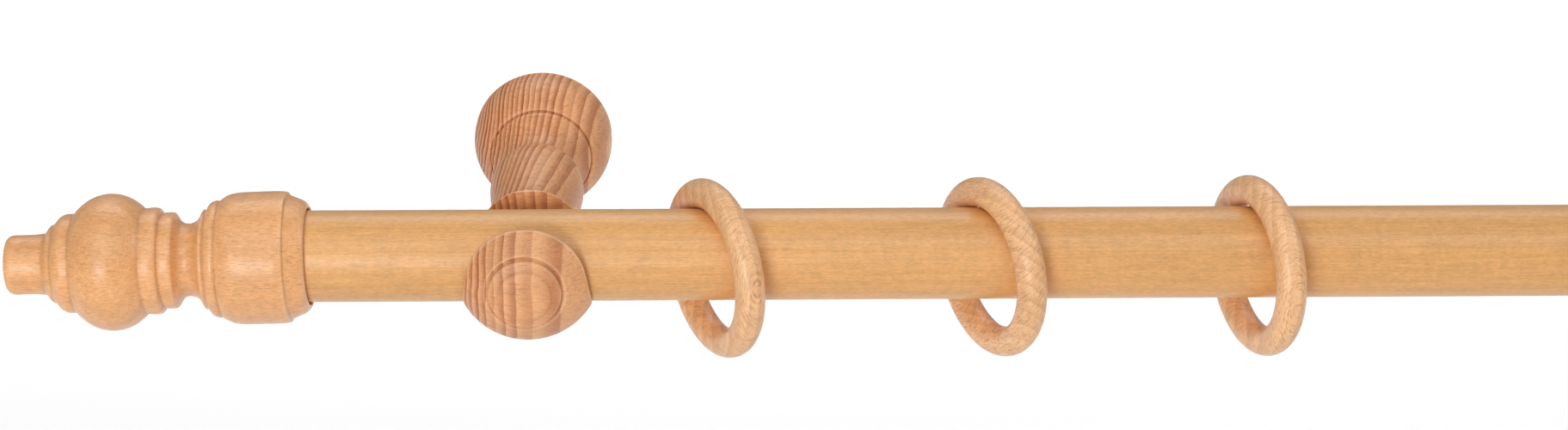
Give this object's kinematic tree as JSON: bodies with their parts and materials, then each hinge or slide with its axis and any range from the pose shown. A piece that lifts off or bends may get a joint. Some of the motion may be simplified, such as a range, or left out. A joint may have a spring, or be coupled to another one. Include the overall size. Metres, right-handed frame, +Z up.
{
  "type": "curtain rod with brackets",
  "caption": "Wooden curtain pole lying in open-topped turned wall brackets, with slip-on turned finials at its ends and wooden rings that slide along it.",
  "frame": {"origin": "on the face of the wall, halfway between the two brackets, at the height of their hanger bolts", "axes": "+X along the pole to the right as seen from the room, +Y into the wall, +Z up"},
  "size_m": [1.3342, 0.1601, 0.0564],
  "materials": {
    "pole_beech": "satin lacquered beech, straight grain along the pole",
    "finial_beech": "satin lacquered turned beech with short dark flecks",
    "bracket_beech": "satin turned beech with marked growth rings",
    "ring_beech": "satin turned beech with short dark flecks",
    "zinc_steel": "bright zinc plated steel",
    "grey_nylon": "moulded nylon"
  },
  "bodies": {
    "wall_brackets": {"bracket_left": "bracket_beech", "bracket_right": "bracket_beech", "hanger_bolt_left": "zinc_steel", "hanger_bolt_right": "zinc_steel", "wall_plug_left": "grey_nylon", "wall_plug_right": "grey_nylon"},
    "pole": {"pole": "pole_beech"},
    "finial_left": {"finial_left": "finial_beech"},
    "finial_right": {"finial_right": "finial_beech"},
    "ring_01": {"ring_01": "ring_beech"},
    "ring_02": {"ring_02": "ring_beech"},
    "ring_03": {"ring_03": "ring_beech"},
    "ring_04": {"ring_04": "ring_beech"},
    "ring_05": {"ring_05": "ring_beech"},
    "ring_06": {"ring_06": "ring_beech"},
    "ring_07": {"ring_07": "ring_beech"},
    "ring_08": {"ring_08": "ring_beech"},
    "ring_09": {"ring_09": "ring_beech"},
    "ring_10": {"ring_10": "ring_beech"},
    "ring_11": {"ring_11": "ring_beech"},
    "ring_12": {"ring_12": "ring_beech"}
  },
  "joints": [
    {"name": "pole_lift", "type": "slide", "parent": "wall_brackets", "child": "pole", "axis": [0, 0, 1], "range_m": [0, 0.05]},
    {"name": "finial_left_pull", "type": "slide", "parent": "pole", "child": "finial_left", "axis": [-1, 0, 0], "range_m": [0, 0.035]},
    {"name": "finial_right_pull", "type": "slide", "parent": "pole", "child": "finial_right", "axis": [1, 0, 0], "range_m": [0, 0.035]},
    {"name": "ring_01_slide", "type": "slide", "parent": "pole", "child": "ring_01", "axis": [1, 0, 0], "range_m": [-0.018, 0.067]},
    {"name": "ring_02_slide", "type": "slide", "parent": "pole", "child": "ring_02", "axis": [1, 0, 0], "range_m": [-0.067, 0.064]},
    {"name": "ring_03_slide", "type": "slide", "parent": "pole", "child": "ring_03", "axis": [1, 0, 0], "range_m": [-0.064, 0.111]},
    {"name": "ring_04_slide", "type": "slide", "parent": "pole", "child": "ring_04", "axis": [1, 0, 0], "range_m": [-0.111, 0.058]},
    {"name": "ring_05_slide", "type": "slide", "parent": "pole", "child": "ring_05", "axis": [1, 0, 0], "range_m": [-0.058, 0.058]},
    {"name": "ring_06_slide", "type": "slide", "parent": "pole", "child": "ring_06", "axis": [1, 0, 0], "range_m": [-0.058, 0.058]},
    {"name": "ring_07_slide", "type": "slide", "parent": "pole", "child": "ring_07", "axis": [1, 0, 0], "range_m": [-0.058, 0.058]},
    {"name": "ring_08_slide", "type": "slide", "parent": "pole", "child": "ring_08", "axis": [1, 0, 0], "range_m": [-0.058, 0.058]},
    {"name": "ring_09_slide", "type": "slide", "parent": "pole", "child": "ring_09", "axis": [1, 0, 0], "range_m": [-0.058, 0.058]},
    {"name": "ring_10_slide", "type": "slide", "parent": "pole", "child": "ring_10", "axis": [1, 0, 0], "range_m": [-0.058, 0.058]},
    {"name": "ring_11_slide", "type": "slide", "parent": "pole", "child": "ring_11", "axis": [1, 0, 0], "range_m": [-0.058, 0.058]},
    {"name": "ring_12_slide", "type": "slide", "parent": "pole", "child": "ring_12", "axis": [1, 0, 0], "range_m": [-0.058, 0.018]}
  ]
}
